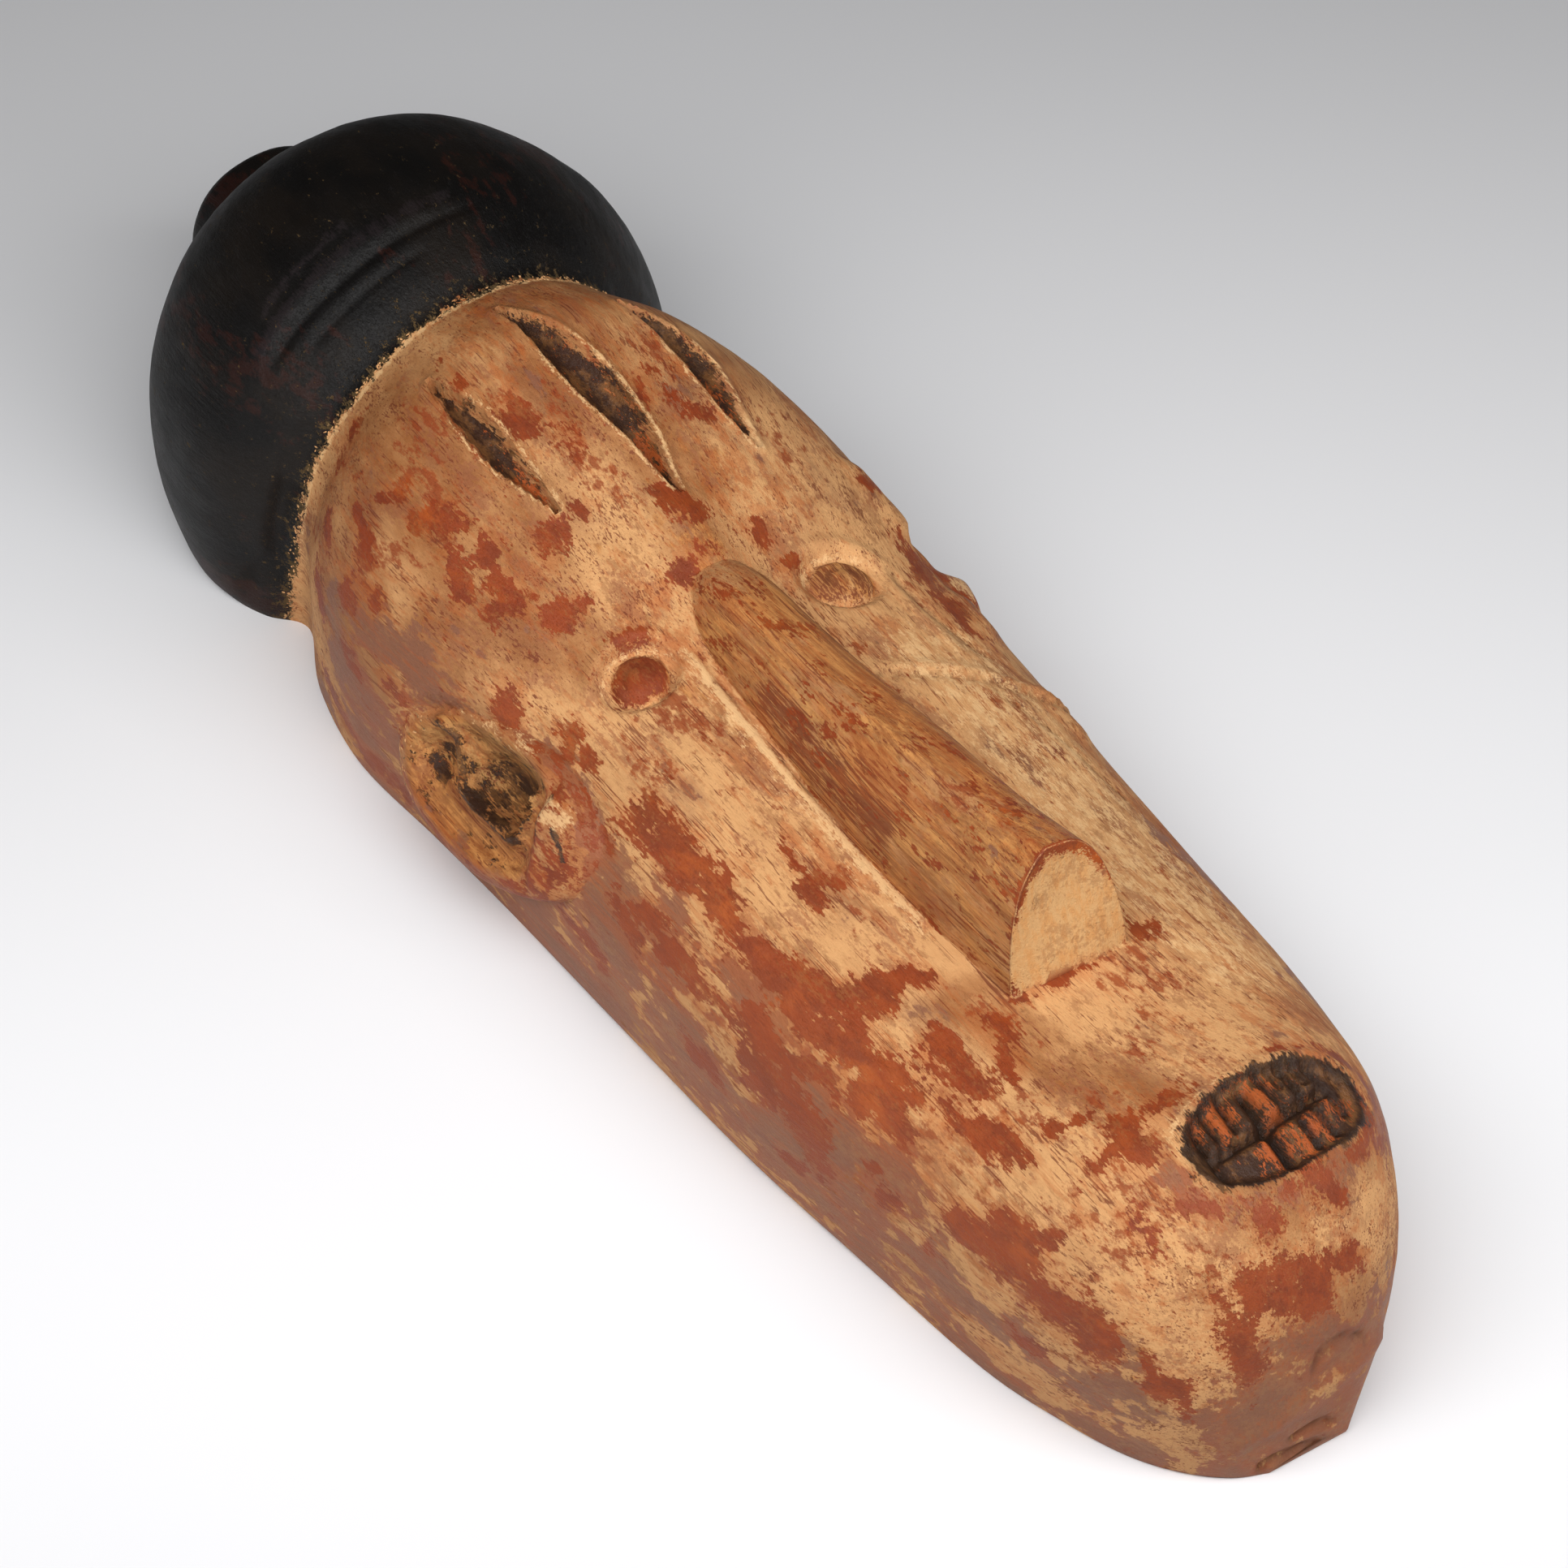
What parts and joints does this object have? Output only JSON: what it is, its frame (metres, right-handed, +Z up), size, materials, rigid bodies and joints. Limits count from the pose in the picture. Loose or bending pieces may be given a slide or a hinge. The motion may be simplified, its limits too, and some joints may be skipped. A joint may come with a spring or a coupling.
{
  "type": "dogon mask",
  "caption": "Long carved wooden face mask with a dark domed cap and stub, blunt-ended long nose, small eyes, curled ears, toothed mouth and a hollow back; lies on its rim.",
  "frame": {"origin": "on the floor under the middle of the mask's outline, with the mask lying on its rim", "axes": "+X across the face, +Y from the chin to the crown, +Z up out of the hollow back, the way the face looks"},
  "size_m": [0.189, 0.601, 0.1272],
  "materials": {
    "painted_wood": "matt, worn kaolin and red ochre over dark wood, with a satin black cap"
  },
  "bodies": {
    "root": {"mask": "painted_wood"}
  },
  "joints": []
}
